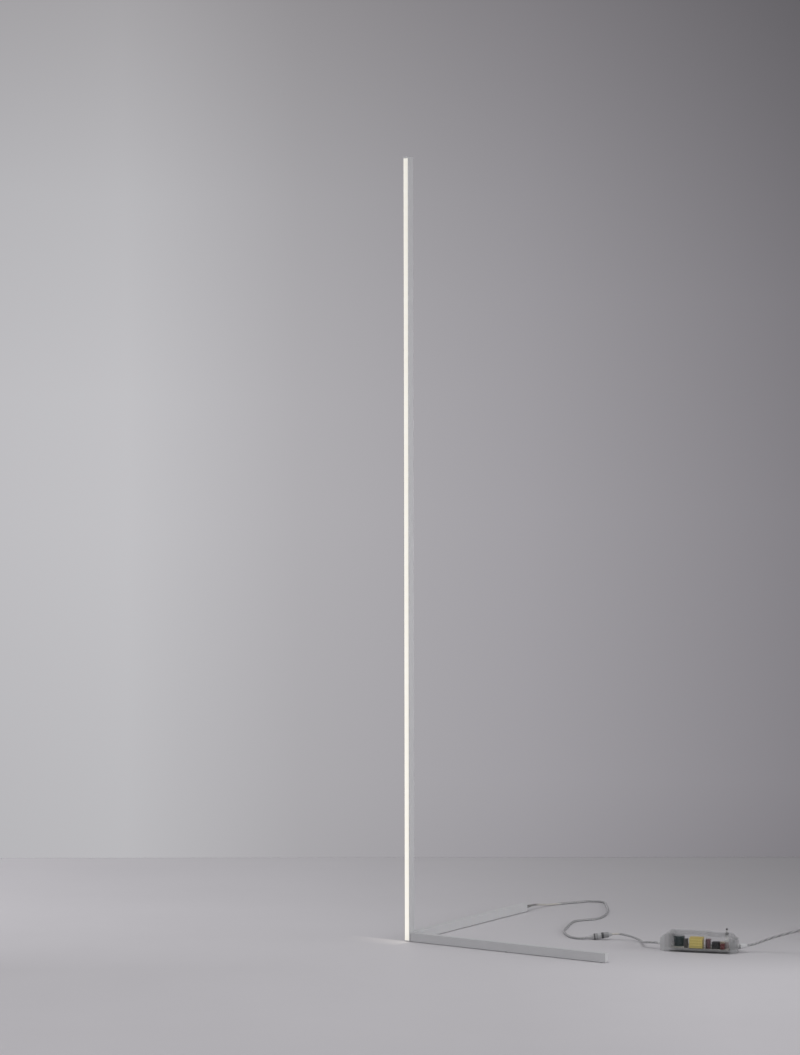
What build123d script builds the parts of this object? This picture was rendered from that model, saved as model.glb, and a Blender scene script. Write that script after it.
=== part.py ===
from build123d import *
import os
from math import cos, pi, radians, sin, sqrt, tan

# LED floor lamp: a slim lit column on an L-shaped base, with its in-line driver, cords and plug.
# Millimetres, +Z up. The origin is on the floor under the middle of the column.
# +X runs along the side foot, +Y along the rear foot that carries the cord, and the light faces -Y.

os.makedirs("parts", exist_ok=True)

# Overall sizes
lamp_height = 1800
foot_length = 508
bar_width = 15
bar_depth = 20
bar_corner = 0.6
fit_gap = 0.1

# Column
column_wall = 1.5
channel_depth = 8
web_thickness = 1.5
bottom_cap_height = 2
top_cap_height = 4
top_cap_spigot = 12
groove_depth = 0.6
groove_width = 1.2
groove_setback = 3
block_height = 55

# Light strip
diffuser_setback = 0.3
diffuser_face = 2
diffuser_corner = 0.5
diffuser_leg = 1
barb_reach = 0.5
barb_width = 0.8
board_width = 10
board_thickness = 1
board_start = 36
board_stop = 6
chip_width = 2.8
chip_length = 3.5
chip_thickness = 0.7
chip_pitch = 25

# Feet
foot_wall = 1.5
end_cap_plate = 3
end_cap_spigot = 8
foot_plug_length = 24
ballast_gap = 0.2
ballast_end_gap = 6
pad_height = 1
pad_diameter = 10
pad_inset = 10
tenon_depth = 2
tenon_height = 5.6
tenon_margin = 0.45

# Screws
rear_screw_diameter = 3
rear_screw_length = 25
rear_head_height = 3
side_screw_diameter = 4
side_screw_length = 30
head_overhang = 1
sunk_head_overhang = 1.25
hole_gap = 0.1
thread_gap = 0.05
head_margin = 0.25
hex_radius = 1.4
hex_depth = 1.6
case_hex_radius = 1.2
case_hex_depth = 1.2

# Lead wires and the strain relief on the rear foot
wire_diameter = 1.5
wire_pitch = 2
wire_room = 0.45
wire_web_gap = 0.25
wire_bend = 1.6
slot_wall = 0.5
relief_flange_radius = 5
relief_flange = 2
relief_neck_radius = 3.4
relief_collar_radius = 3.9
relief_collar = 2
relief_tip_radius = 3.2
relief_length = 25

# Cords
lamp_cord_diameter = 5
floor_gap = 0.1
mains_cord_diameter = 5.5

# In-line connector: places of the loose pieces count from under the strain relief's tip
connector_place = (357.6, -287.9, 9)
connector_heading = 32
connector_tilt = 8
connector_half = 27.5
connector_tip_radius = 3.3
connector_tail_radius = 5
connector_flange_radius = 6.2
connector_flange = 2.2
connector_core_radius = 4.6
connector_core_end = 2.8
ring_start = -14
ring_length = 8.6
ring_radius = 7
ring_gap = 0.3
ring_groove_radius = 0.6
ring_grooves = 16
socket_radius = 6.6
socket_bore_gap = 0.15
socket_floor_gap = 0.4
seal_start = 3.2
seal_length = 5.6
seal_radius = 7
seal_depth = 1.2
socket_body_end = 20
contact_radius = 0.7
contact_offset = 2
contact_depth = 8

# Driver case
driver_place = (615.1, -294.9, 0)
driver_heading = 17.4
case_length = 174
case_width = 58
case_corner_length = 14
case_corner_width = 16
case_corner_radius = 5
case_wall = 2
parting_height = 14
left_end_height = 27
left_shoulder = -79
left_shoulder_height = 33
raised_start = -67
raised_height = 41
raised_end = 17
shelf_start = 29
shelf_height = 39
right_shoulder = 71
right_knee = 79
right_knee_height = 32
right_end_height = 30.5
post_radius = 3.5
post_place = (74, 18)
case_screw_diameter = 3
case_screw_head = 5.4
case_screw_head_height = 2.2
case_screw_recess = 2.6
case_screw_grip = 11
boot_neck_radius = 4
boot_flange = 2
boot_flange_radius = 6
entry_boot_length = 7
entry_boot_radius = 5
exit_boot_collar = 3.6
exit_boot_length = 17
exit_boot_radius = 6.2
exit_boot_tip_radius = 4.2
exit_boot_yaw = 28
exit_boot_rise = 4

# Driver circuit
board_length = 134
board_span = 48
board_height = 6
board_plate = 1.6
rest_radius = 3
rest_place = (59, 18)
row_start = -19.4
winding_length = 29.6
winding_width = 27
winding_height = 22.5
winding_set = -9.5
bobbin_base_height = 1
core_leg_width = 12
core_leg_height = 10
core_leg_depth = 20
core_plate_length = 28
core_plate = 5
core_plate_height = 20
card_gap = 5.2
card_thickness = 1.2
card_width = 26
card_height = 22
film_gap = 1.55
film_size = (8.5, 16, 20.4)
film_set = -6
module_gap = 3.15
module_size = (17.4, 18, 14.6)
module_set = -5
fuse_gap = 0.85
fuse_size = (9.5, 9, 15.5)
fuse_set = -2.5
red_size = (10.5, 9.5, 12.5)
red_shift = 1.7
red_gap = 1.25
rectifier_gap = 5.1
rectifier_size = (8, 14, 19)
rectifier_set = -7
capacitor_gap = 2.5
capacitor_diameter = 25
capacitor_height = 23
capacitor_set = 11.5
lead_diameter = 1.6
lead_pitch = 3.2
edge_round = 0.8

# Push switch
switch_gap = 0.45
switch_width = 8
switch_set = 0
switch_top = 28
bush_radius = 2.3
bush_rise = 6.8
bush_bore_depth = 16
nut_radius = 4.2
nut_height = 3
stem_radius = 1.3
stem_gap = 0.1
stem_engaged = 10
button_travel = 2.6
button_stop_gap = 0.2
cap_radius = 2.4
cap_height = 4.4
cap_socket = 2.4
switch_lead_drop = 2.5

# Mains coil and its tie
coil_place = (743, 97)
coil_turns = 3
coil_mid_radius = 33
coil_pitch = 6
coil_layer = 6
coil_lift = 1
tie_width = 8
tie_band = 0.8
tie_side_gap = 0.6
tie_foot_gap = 0.05
tie_top_gap = 0.4
tie_corner = 2.6
tie_head = (5, 3)

# Mains plug
plug_place = (790, 23)
plug_thickness = 14
plug_boot_length = 24
plug_boot_tip_radius = 3.5
plug_boot_radius = 5.2
plug_neck_width = 13
plug_neck_length = 8
plug_shoulder_length = 12
plug_width = 34
plug_length = 36
plug_round = 2
pin_radius = 2
pin_length = 19
pin_spacing = 19
pin_seat = 10
pin_shank_radius = 1.8

# Worked-out places on the column and the feet
half_width = bar_width / 2
half_depth = bar_depth / 2
channel_width = bar_width - 2 * column_wall
web_front = channel_depth - half_depth
cavity_front = web_front + web_thickness
cavity_back = half_depth - column_wall
cavity_depth = cavity_back - cavity_front
cavity_mid = (cavity_front + cavity_back) / 2
profile_bottom = pad_height + bottom_cap_height
profile_top = lamp_height - top_cap_height
profile_length = profile_top - profile_bottom
groove_y = groove_setback - half_depth
foot_mid = pad_height + bar_depth / 2
foot_inner_width = bar_width - 2 * foot_wall
foot_inner_height = bar_depth - 2 * foot_wall
foot_tube_length = foot_length - end_cap_plate
plug_fit_width = foot_inner_width - 2 * fit_gap
plug_fit_height = foot_inner_height - 2 * fit_gap

# Worked-out places of the screws and the wires
rear_hole_radius = rear_screw_diameter / 2 + hole_gap
rear_head_radius = rear_screw_diameter / 2 + head_overhang
rear_screw_x = channel_width / 4
rear_screw_z = profile_bottom + rear_head_radius + head_margin
side_hole_radius = side_screw_diameter / 2 + hole_gap
side_overlap = foot_inner_width / 2 - cavity_front
side_screw_y = cavity_front + side_overlap / 2
side_screw_z = foot_mid
tenon_width = side_overlap - 2 * tenon_margin
slot_height = wire_diameter + 2 * wire_room
slot_width = wire_pitch + wire_diameter + 2 * wire_room
wire_y = web_front - wire_web_gap - wire_diameter / 2
wire_z = side_screw_z + side_hole_radius + slot_wall + slot_height / 2
board_bottom = profile_bottom + board_start
board_run = profile_top - board_stop - board_bottom

# Worked-out places along the driver's board, from the capacitor to the push switch
winding_place = (row_start + winding_length / 2, winding_set)
card_left = row_start + winding_length + card_gap
film_left = card_left + card_thickness + film_gap
module_left = film_left + film_size[0] + module_gap
fuse_left = module_left + module_size[0] + fuse_gap
switch_left = fuse_left + fuse_size[0] + switch_gap
rectifier_left = row_start - rectifier_gap - rectifier_size[0]
card_place = (card_left + card_thickness / 2, winding_set)
film_place = (film_left + film_size[0] / 2, film_set)
module_place = (module_left + module_size[0] / 2, module_set)
fuse_place = (fuse_left + fuse_size[0] / 2, fuse_set)
switch_place = (switch_left + switch_width / 2, switch_set)
red_set = fuse_set - fuse_size[1] / 2 - red_gap - red_size[1] / 2
red_place = (fuse_place[0] + red_shift, red_set)
rectifier_place = (rectifier_left + rectifier_size[0] / 2, rectifier_set)
capacitor_place = (rectifier_left - capacitor_gap - capacitor_diameter / 2, capacitor_set)

# Planes that look along the two feet, with local x level and local y up
side_plane = Plane(origin=(half_width, 0, 0), x_dir=(0, 1, 0), z_dir=(1, 0, 0))
rear_plane = Plane(origin=(0, half_depth, 0), x_dir=(-1, 0, 0), z_dir=(0, 1, 0))
channel_plane = Plane(origin=(0, web_front, 0), x_dir=(-1, 0, 0), z_dir=(0, 1, 0))
sunk_plane = Plane(
    origin=(-half_width, side_screw_y, side_screw_z), x_dir=(1, 0, 0), z_dir=(0, -1, 0)
)
sunk_axis = Axis((-half_width, side_screw_y, side_screw_z), (1, 0, 0))
sunk_face = Plane(
    origin=(-half_width, side_screw_y, side_screw_z), x_dir=(0, 1, 0), z_dir=(1, 0, 0)
)
wire_slot_centre = (0, wire_z)


# Half profile of the countersunk screw, grown all round by a gap
def sunk_profile(gap):
    shank = side_screw_diameter / 2 + gap
    head = side_screw_diameter / 2 + sunk_head_overhang + gap
    return [
        (0, 0),
        (0, head),
        (sunk_head_overhang, shank),
        (side_screw_length, shank),
        (side_screw_length, 0),
    ]


# Column extrusion: front channel for the light, rear cavity for the base block
with BuildPart() as column_profile:
    with BuildSketch(Plane.XY.offset(profile_bottom)):
        RectangleRounded(bar_width, bar_depth, bar_corner)
        with Locations((0, -half_depth)):
            Rectangle(channel_width, 2 * channel_depth, mode=Mode.SUBTRACT)
        with Locations((0, groove_y)):
            Rectangle(channel_width + 2 * groove_depth, groove_width, mode=Mode.SUBTRACT)
        with Locations((0, cavity_mid)):
            Rectangle(channel_width, cavity_depth, mode=Mode.SUBTRACT)
    extrude(amount=profile_length)
    with BuildSketch(channel_plane):
        with Locations((-rear_screw_x, rear_screw_z), (rear_screw_x, rear_screw_z)):
            Circle(rear_hole_radius)
        with Locations(wire_slot_centre):
            Rectangle(slot_width, slot_height)
    extrude(amount=bar_depth, mode=Mode.SUBTRACT)
    with BuildSketch(channel_plane):
        with Locations((0, wire_z + wire_bend / 2)):
            Rectangle(slot_width, slot_height + wire_bend)
    extrude(amount=web_thickness, mode=Mode.SUBTRACT)
    with BuildSketch(sunk_plane):
        with BuildLine():
            Polyline(*sunk_profile(hole_gap), close=True)
        make_face()
    revolve(axis=sunk_axis, mode=Mode.SUBTRACT)
    with BuildSketch(side_plane):
        with Locations((side_screw_y, side_screw_z)):
            Rectangle(tenon_width + 2 * fit_gap, tenon_height + 2 * fit_gap)
    extrude(amount=-column_wall, mode=Mode.SUBTRACT)
column_profile.part.label = "column_profile"
export_step(column_profile.part, "parts/column_profile.step")

# Opal front of the light, held by barbed legs in the channel's grooves
with BuildPart() as diffuser:
    face_half = channel_width / 2 - fit_gap
    face_back = diffuser_setback + diffuser_face - half_depth
    leg_end = groove_y + barb_width / 2
    with BuildSketch(Plane.XY.offset(profile_bottom)) as diffuser_section:
        with Locations((0, face_back - diffuser_face / 2)):
            Rectangle(2 * face_half, diffuser_face)
        fillet(diffuser_section.vertices().group_by(Axis.Y)[0], radius=diffuser_corner)
        for side in (-1, 1):
            with Locations((side * (face_half - diffuser_leg / 2), (face_back + leg_end) / 2)):
                Rectangle(diffuser_leg, leg_end - face_back)
            with Locations((side * face_half, groove_y)):
                Rectangle(2 * barb_reach, barb_width)
    extrude(amount=profile_length)
diffuser.part.label = "diffuser"
export_step(diffuser.part, "parts/diffuser.step")

# LED circuit board on the channel's web
with BuildPart() as led_board:
    with BuildSketch(Plane.XY.offset(board_bottom)):
        with Locations((0, web_front - board_thickness / 2)):
            Rectangle(board_width, board_thickness)
    extrude(amount=board_run)
led_board.part.label = "led_board"
export_step(led_board.part, "parts/led_board.step")

# LED chips in one row up the board
with BuildPart() as led_chips:
    chip_count = int((board_run - chip_length) / chip_pitch) + 1
    chip_first = board_bottom + (board_run - (chip_count - 1) * chip_pitch) / 2
    chip_y = web_front - board_thickness - chip_thickness / 2
    with Locations(*[(0, chip_y, chip_first + chip_pitch * i) for i in range(chip_count)]):
        Box(chip_width, chip_thickness, chip_length)
led_chips.part.label = "led_chips"
export_step(led_chips.part, "parts/led_chips.step")

# Top cap with its spigot in the rear cavity
with BuildPart() as column_top_cap:
    with BuildSketch(Plane.XY.offset(profile_top)):
        RectangleRounded(bar_width, bar_depth, bar_corner)
    extrude(amount=top_cap_height)
    with BuildSketch(Plane.XY.offset(profile_top)):
        with Locations((0, cavity_mid)):
            Rectangle(channel_width - 2 * fit_gap, cavity_depth - 2 * fit_gap)
    extrude(amount=-top_cap_spigot)
column_top_cap.part.label = "column_top_cap"
export_step(column_top_cap.part, "parts/column_top_cap.step")

# Bottom cap, a plate bonded to the column's end
with BuildPart() as column_bottom_cap:
    with BuildSketch(Plane.XY.offset(pad_height)):
        RectangleRounded(bar_width, bar_depth, bar_corner)
    extrude(amount=bottom_cap_height)
column_bottom_cap.part.label = "column_bottom_cap"
export_step(column_bottom_cap.part, "parts/column_bottom_cap.step")

# Steel block in the foot of the rear cavity, which the foot screws clamp
with BuildPart() as base_block:
    with BuildSketch(Plane.XY.offset(profile_bottom)):
        with Locations((0, cavity_mid)):
            Rectangle(channel_width - 2 * fit_gap, cavity_depth - 2 * fit_gap)
    extrude(amount=block_height)
    with BuildSketch(channel_plane):
        with Locations((-rear_screw_x, rear_screw_z), (rear_screw_x, rear_screw_z)):
            Circle(rear_hole_radius)
        with Locations(wire_slot_centre):
            Rectangle(slot_width, slot_height)
    extrude(amount=bar_depth, mode=Mode.SUBTRACT)
    with BuildSketch(sunk_plane):
        with BuildLine():
            Polyline(*sunk_profile(hole_gap), close=True)
        make_face()
    revolve(axis=sunk_axis, mode=Mode.SUBTRACT)
    with BuildSketch(side_plane):
        with Locations((side_screw_y, side_screw_z)):
            Rectangle(tenon_width + 2 * fit_gap, tenon_height + 2 * fit_gap)
    extrude(amount=-(column_wall + tenon_depth + fit_gap), mode=Mode.SUBTRACT)
base_block.part.label = "base_block"
export_step(base_block.part, "parts/base_block.step")

# Foot tubes
for foot, plane in (("side_foot", side_plane), ("rear_foot", rear_plane)):
    with BuildPart() as foot_tube:
        with BuildSketch(plane):
            with Locations((0, foot_mid)):
                RectangleRounded(bar_width, bar_depth, bar_corner)
                Rectangle(foot_inner_width, foot_inner_height, mode=Mode.SUBTRACT)
        extrude(amount=foot_tube_length)
    foot_tube.part.label = foot + "_tube"
    export_step(foot_tube.part, "parts/" + foot + "_tube.step")

# Side foot's inner plug, keyed into the column by a tenon round its screw
with BuildPart() as side_foot_plug:
    with BuildSketch(side_plane):
        with Locations((0, foot_mid)):
            Rectangle(plug_fit_width, plug_fit_height)
    extrude(amount=foot_plug_length)
    with BuildSketch(side_plane):
        with Locations((side_screw_y, side_screw_z)):
            Rectangle(tenon_width, tenon_height)
    extrude(amount=-(column_wall + tenon_depth))
    with BuildSketch(side_plane.offset(-(column_wall + tenon_depth))):
        with Locations((side_screw_y, side_screw_z)):
            Circle(side_screw_diameter / 2 + thread_gap)
    extrude(amount=column_wall + tenon_depth + foot_plug_length, mode=Mode.SUBTRACT)
side_foot_plug.part.label = "side_foot_plug"
export_step(side_foot_plug.part, "parts/side_foot_plug.step")

# Rear foot's inner plug, with two threaded holes and the wires' slot
with BuildPart() as rear_foot_plug:
    with BuildSketch(rear_plane):
        with Locations((0, foot_mid)):
            Rectangle(plug_fit_width, plug_fit_height)
        with Locations((-rear_screw_x, rear_screw_z), (rear_screw_x, rear_screw_z)):
            Circle(rear_screw_diameter / 2 + thread_gap, mode=Mode.SUBTRACT)
        with Locations(wire_slot_centre):
            Rectangle(slot_width, slot_height, mode=Mode.SUBTRACT)
    extrude(amount=foot_plug_length)
rear_foot_plug.part.label = "rear_foot_plug"
export_step(rear_foot_plug.part, "parts/rear_foot_plug.step")

# Countersunk screw of the side foot, put in from the column's far side
with BuildPart() as side_foot_screw:
    with BuildSketch(sunk_plane):
        with BuildLine():
            Polyline(*sunk_profile(0), close=True)
        make_face()
    revolve(axis=sunk_axis)
    with BuildSketch(sunk_face):
        RegularPolygon(hex_radius, 6)
    extrude(amount=hex_depth, mode=Mode.SUBTRACT)
side_foot_screw.part.label = "side_foot_screw"
export_step(side_foot_screw.part, "parts/side_foot_screw.step")

# Cap screws of the rear foot, put in from the light's channel
with BuildPart() as rear_foot_screws:
    screw_spots = [(-rear_screw_x, rear_screw_z), (rear_screw_x, rear_screw_z)]
    with BuildSketch(channel_plane):
        with Locations(*screw_spots):
            Circle(rear_screw_diameter / 2)
    extrude(amount=rear_screw_length)
    with BuildSketch(channel_plane):
        with Locations(*screw_spots):
            Circle(rear_head_radius)
    extrude(amount=-rear_head_height)
    with BuildSketch(channel_plane.offset(-rear_head_height)):
        with Locations(*screw_spots):
            RegularPolygon(hex_radius, 6)
    extrude(amount=hex_depth, mode=Mode.SUBTRACT)
rear_foot_screws.part.label = "rear_foot_screws"
export_step(rear_foot_screws.part, "parts/rear_foot_screws.step")

# Ballast bars: the side one fills its tube, the rear one leaves room for the wires
ballast_start = foot_plug_length + ballast_gap
ballast_width = foot_inner_width - 2 * ballast_gap
ballast_bottom = pad_height + foot_wall + fit_gap
rear_ballast_top = wire_z - wire_diameter / 2 - wire_room - ballast_gap
side_ballast_height = foot_inner_height - 2 * fit_gap
side_ballast_end = foot_tube_length - end_cap_spigot - ballast_gap
rear_ballast_end = side_ballast_end - relief_flange - ballast_end_gap
with BuildPart() as side_foot_ballast:
    with BuildSketch(side_plane.offset(ballast_start)):
        with Locations((0, ballast_bottom + side_ballast_height / 2)):
            Rectangle(ballast_width, side_ballast_height)
    extrude(amount=side_ballast_end - ballast_start)
side_foot_ballast.part.label = "side_foot_ballast"
export_step(side_foot_ballast.part, "parts/side_foot_ballast.step")

with BuildPart() as rear_foot_ballast:
    with BuildSketch(rear_plane.offset(ballast_start)):
        with Locations((0, (ballast_bottom + rear_ballast_top) / 2)):
            Rectangle(ballast_width, rear_ballast_top - ballast_bottom)
    extrude(amount=rear_ballast_end - ballast_start)
rear_foot_ballast.part.label = "rear_foot_ballast"
export_step(rear_foot_ballast.part, "parts/rear_foot_ballast.step")

# End caps with their spigots: the rear one is pierced for the strain relief
with BuildPart() as side_foot_end_cap:
    with BuildSketch(side_plane.offset(foot_tube_length)):
        with Locations((0, foot_mid)):
            RectangleRounded(bar_width, bar_depth, bar_corner)
    extrude(amount=end_cap_plate)
    with BuildSketch(side_plane.offset(foot_tube_length)):
        with Locations((0, foot_mid)):
            Rectangle(plug_fit_width, plug_fit_height)
    extrude(amount=-end_cap_spigot)
side_foot_end_cap.part.label = "side_foot_end_cap"
export_step(side_foot_end_cap.part, "parts/side_foot_end_cap.step")

with BuildPart() as rear_foot_end_cap:
    with BuildSketch(rear_plane.offset(foot_tube_length)):
        with Locations((0, foot_mid)):
            RectangleRounded(bar_width, bar_depth, bar_corner)
    extrude(amount=end_cap_plate)
    with BuildSketch(rear_plane.offset(foot_tube_length)):
        with Locations((0, foot_mid)):
            Rectangle(plug_fit_width, plug_fit_height)
    extrude(amount=-end_cap_spigot)
    with BuildSketch(rear_plane.offset(foot_length)):
        with Locations((0, foot_mid)):
            Circle(relief_neck_radius + fit_gap)
    extrude(amount=-(end_cap_plate + end_cap_spigot), mode=Mode.SUBTRACT)
rear_foot_end_cap.part.label = "rear_foot_end_cap"
export_step(rear_foot_end_cap.part, "parts/rear_foot_end_cap.step")

# Tapered strain relief through the rear end cap
relief_root = half_depth + foot_length
relief_inner = half_depth + foot_tube_length - end_cap_spigot
relief_tip = relief_root + relief_length
relief_plane = Plane(origin=(0, relief_root, foot_mid), x_dir=(0, 1, 0), z_dir=(1, 0, 0))
with BuildPart() as cord_strain_relief:
    flange_back = relief_inner - relief_flange - relief_root
    flange_front = relief_inner - relief_root
    with BuildSketch(relief_plane):
        with BuildLine():
            Polyline(
                (flange_back, 0),
                (flange_back, relief_flange_radius),
                (flange_front, relief_flange_radius),
                (flange_front, relief_neck_radius),
                (0, relief_neck_radius),
                (0, relief_collar_radius),
                (relief_collar, relief_collar_radius),
                (relief_length, relief_tip_radius),
                (relief_length, 0),
                close=True,
            )
        make_face()
    revolve(axis=Axis((0, relief_root, foot_mid), (0, 1, 0)))
cord_strain_relief.part.label = "cord_strain_relief"
export_step(cord_strain_relief.part, "parts/cord_strain_relief.step")

# Two wires from the LED board, down the channel and along the rear foot to the strain relief
with BuildPart() as lead_wires:
    for wire_x in (-wire_pitch / 2, wire_pitch / 2):
        with BuildLine() as wire_route:
            FilletPolyline(
                (wire_x, wire_y, board_bottom),
                (wire_x, wire_y, wire_z),
                (wire_x, relief_inner - relief_flange, wire_z),
                radius=wire_bend,
            )
        with BuildSketch(Plane(origin=wire_route.line @ 0, z_dir=wire_route.line % 0)):
            Circle(wire_diameter / 2)
        sweep(path=wire_route.line)
lead_wires.part.label = "lead_wires"
export_step(lead_wires.part, "parts/lead_wires.step")

# Rubber pads under the column, and under the middle and end of each foot
with BuildPart() as foot_pads:
    foot_middle = foot_length / 2
    foot_end = foot_length - pad_inset
    with BuildSketch(Plane.XY):
        with Locations(
            (0, 0),
            (half_width + foot_middle, 0),
            (half_width + foot_end, 0),
            (0, half_depth + foot_middle),
            (0, half_depth + foot_end),
        ):
            Circle(pad_diameter / 2)
    extrude(amount=pad_height)
foot_pads.part.label = "foot_pads"
export_step(foot_pads.part, "parts/foot_pads.step")


# A loose piece's place, moved along with the strain relief's tip
def from_tip(x, y, z):
    return (x, relief_tip + y, z)


# In-line connector, along its own axis: local x runs from the lamp's half to the driver's
connector_way = Vector(
    cos(radians(connector_heading)) * cos(radians(connector_tilt)),
    sin(radians(connector_heading)) * cos(radians(connector_tilt)),
    sin(radians(connector_tilt)),
)
connector_front = Vector(sin(radians(connector_heading)), -cos(radians(connector_heading)), 0)
connector_centre = Vector(*from_tip(*connector_place))
connector_plane = Plane(origin=connector_centre, x_dir=connector_way, z_dir=connector_front)
connector_across = Plane(origin=connector_centre, x_dir=connector_front, z_dir=connector_way)
connector_axis = Axis(connector_centre, connector_way)
ring_end = ring_start + ring_length
flange_end = ring_start - ring_gap
socket_start = ring_end + ring_gap
socket_floor = connector_core_end + socket_floor_gap
seal_end = seal_start + seal_length
seal_groove_radius = seal_radius - seal_depth
contact_spots = [(-contact_offset, 0), (contact_offset, 0)]

with BuildPart() as connector_plug:
    with BuildSketch(connector_plane):
        with BuildLine():
            Polyline(
                (-connector_half, 0),
                (-connector_half, connector_tip_radius),
                (flange_end - connector_flange, connector_tail_radius),
                (flange_end - connector_flange, connector_flange_radius),
                (flange_end, connector_flange_radius),
                (flange_end, connector_core_radius),
                (connector_core_end, connector_core_radius),
                (connector_core_end, 0),
                close=True,
            )
        make_face()
    revolve(axis=connector_axis)
    with BuildSketch(connector_across.offset(connector_core_end)):
        with Locations(*contact_spots):
            Circle(contact_radius + fit_gap)
    extrude(amount=-contact_depth, mode=Mode.SUBTRACT)
connector_plug.part.label = "connector_plug"
export_step(connector_plug.part, "parts/connector_plug.step")

with BuildPart() as connector_lock_ring:
    with BuildSketch(connector_across.offset(ring_start)):
        Circle(ring_radius)
        Circle(connector_core_radius + ring_gap, mode=Mode.SUBTRACT)
        with PolarLocations(ring_radius, ring_grooves):
            Circle(ring_groove_radius, mode=Mode.SUBTRACT)
    extrude(amount=ring_length)
connector_lock_ring.part.label = "connector_lock_ring"
export_step(connector_lock_ring.part, "parts/connector_lock_ring.step")

with BuildPart() as connector_socket:
    with BuildSketch(connector_plane):
        with BuildLine():
            Polyline(
                (socket_start, connector_core_radius + socket_bore_gap),
                (socket_start, socket_radius),
                (seal_start, socket_radius),
                (seal_start, seal_groove_radius),
                (seal_end, seal_groove_radius),
                (seal_end, socket_radius),
                (socket_body_end, connector_flange_radius),
                (socket_body_end, connector_tail_radius),
                (connector_half, connector_tip_radius),
                (connector_half, 0),
                (socket_floor, 0),
                (socket_floor, connector_core_radius + socket_bore_gap),
                close=True,
            )
        make_face()
    revolve(axis=connector_axis)
    with BuildSketch(connector_across.offset(socket_floor)):
        with Locations(*contact_spots):
            Circle(contact_radius + fit_gap)
    extrude(amount=contact_depth, mode=Mode.SUBTRACT)
connector_socket.part.label = "connector_socket"
export_step(connector_socket.part, "parts/connector_socket.step")

with BuildPart() as connector_seal:
    with BuildSketch(connector_across.offset(seal_start + fit_gap)):
        Circle(seal_radius)
        Circle(seal_groove_radius + thread_gap, mode=Mode.SUBTRACT)
    extrude(amount=seal_length - 2 * fit_gap)
connector_seal.part.label = "connector_seal"
export_step(connector_seal.part, "parts/connector_seal.step")

with BuildPart() as connector_contacts:
    contact_start = connector_core_end - contact_depth + fit_gap
    contact_end = socket_floor + contact_depth - fit_gap
    with BuildSketch(connector_across.offset(contact_start)):
        with Locations(*contact_spots):
            Circle(contact_radius)
    extrude(amount=contact_end - contact_start)
connector_contacts.part.label = "connector_contacts"
export_step(connector_contacts.part, "parts/connector_contacts.step")

# Driver case, in the driver's own planes: local x along the case, from the lamp's cord to the mains
driver_way = Vector(cos(radians(driver_heading)), sin(radians(driver_heading)), 0)
driver_front = Vector(sin(radians(driver_heading)), -cos(radians(driver_heading)), 0)
driver_centre = Vector(*from_tip(*driver_place))
driver_plane = Plane(origin=driver_centre, x_dir=driver_way, z_dir=(0, 0, 1))
driver_side = Plane(origin=driver_centre, x_dir=driver_way, z_dir=driver_front)
boot_height = driver_centre + Vector(0, 0, parting_height)
boot_side = Plane(origin=boot_height, x_dir=driver_way, z_dir=driver_front)
boot_across = Plane(origin=boot_height, x_dir=driver_front, z_dir=driver_way)
boot_axis = Axis(boot_height, driver_way)
case_half = case_length / 2
post_spots = [(x * post_place[0], y * post_place[1]) for x in (-1, 1) for y in (-1, 1)]
case_hole_radius = case_screw_diameter / 2 + hole_gap


# Plan of the case, a box with cut corners
case_straight = case_half - case_corner_length
case_narrow = case_width / 2 - case_corner_width
case_plan = [
    (-case_straight, -case_width / 2),
    (case_straight, -case_width / 2),
    (case_half, -case_narrow),
    (case_half, case_narrow),
    (case_straight, case_width / 2),
    (-case_straight, case_width / 2),
    (-case_half, case_narrow),
    (-case_half, -case_narrow),
]

# Side outline of the cover: sloped ends, a raised middle and a lower shelf for the push switch
case_side = [
    (-case_half, 0),
    (-case_half, left_end_height),
    (left_shoulder, left_shoulder_height),
    (raised_start, raised_height),
    (raised_end, raised_height),
    (shelf_start, shelf_height),
    (right_shoulder, shelf_height),
    (right_knee, right_knee_height),
    (case_half, right_end_height),
    (case_half, 0),
]

# Outer and inner plans of the case, used by both of its halves
with BuildSketch(Plane.XY) as outer_plan:
    with BuildLine():
        Polyline(*case_plan, close=True)
    make_face()
    fillet(outer_plan.vertices(), radius=case_corner_radius)
with BuildSketch(Plane.XY) as inner_plan:
    add(outer_plan.sketch)
    offset(amount=-case_wall, mode=Mode.REPLACE)
    with Locations(*post_spots):
        Circle(post_radius, mode=Mode.SUBTRACT)
with BuildSketch(Plane.XY) as outer_side:
    with BuildLine():
        Polyline(*case_side, close=True)
    make_face()
with BuildSketch(Plane.XY) as inner_side:
    add(outer_side.sketch)
    offset(amount=-case_wall, kind=Kind.INTERSECTION, mode=Mode.REPLACE)

with BuildPart() as driver_case_base:
    with BuildSketch(driver_plane):
        add(outer_plan.sketch)
    extrude(amount=parting_height)
    with BuildSketch(driver_plane.offset(case_wall)):
        add(inner_plan.sketch)
    extrude(amount=parting_height - case_wall, mode=Mode.SUBTRACT)
    with BuildSketch(driver_plane.offset(case_wall)):
        with GridLocations(2 * rest_place[0], 2 * rest_place[1], 2, 2):
            Circle(rest_radius)
    extrude(amount=board_height - case_wall)
    with BuildSketch(driver_plane):
        with Locations(*post_spots):
            Circle(case_hole_radius)
    extrude(amount=parting_height, mode=Mode.SUBTRACT)
    with BuildSketch(driver_plane):
        with Locations(*post_spots):
            Circle(case_screw_head / 2 + hole_gap)
    extrude(amount=case_screw_recess, mode=Mode.SUBTRACT)
    with BuildSketch(boot_across.offset(-case_half)):
        Circle(boot_neck_radius + fit_gap)
    extrude(amount=case_wall, mode=Mode.SUBTRACT)
    with BuildSketch(boot_across.offset(case_half)):
        Circle(boot_neck_radius + fit_gap)
    extrude(amount=-case_wall, mode=Mode.SUBTRACT)
driver_case_base.part.label = "driver_case_base"
export_step(driver_case_base.part, "parts/driver_case_base.step")

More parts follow.
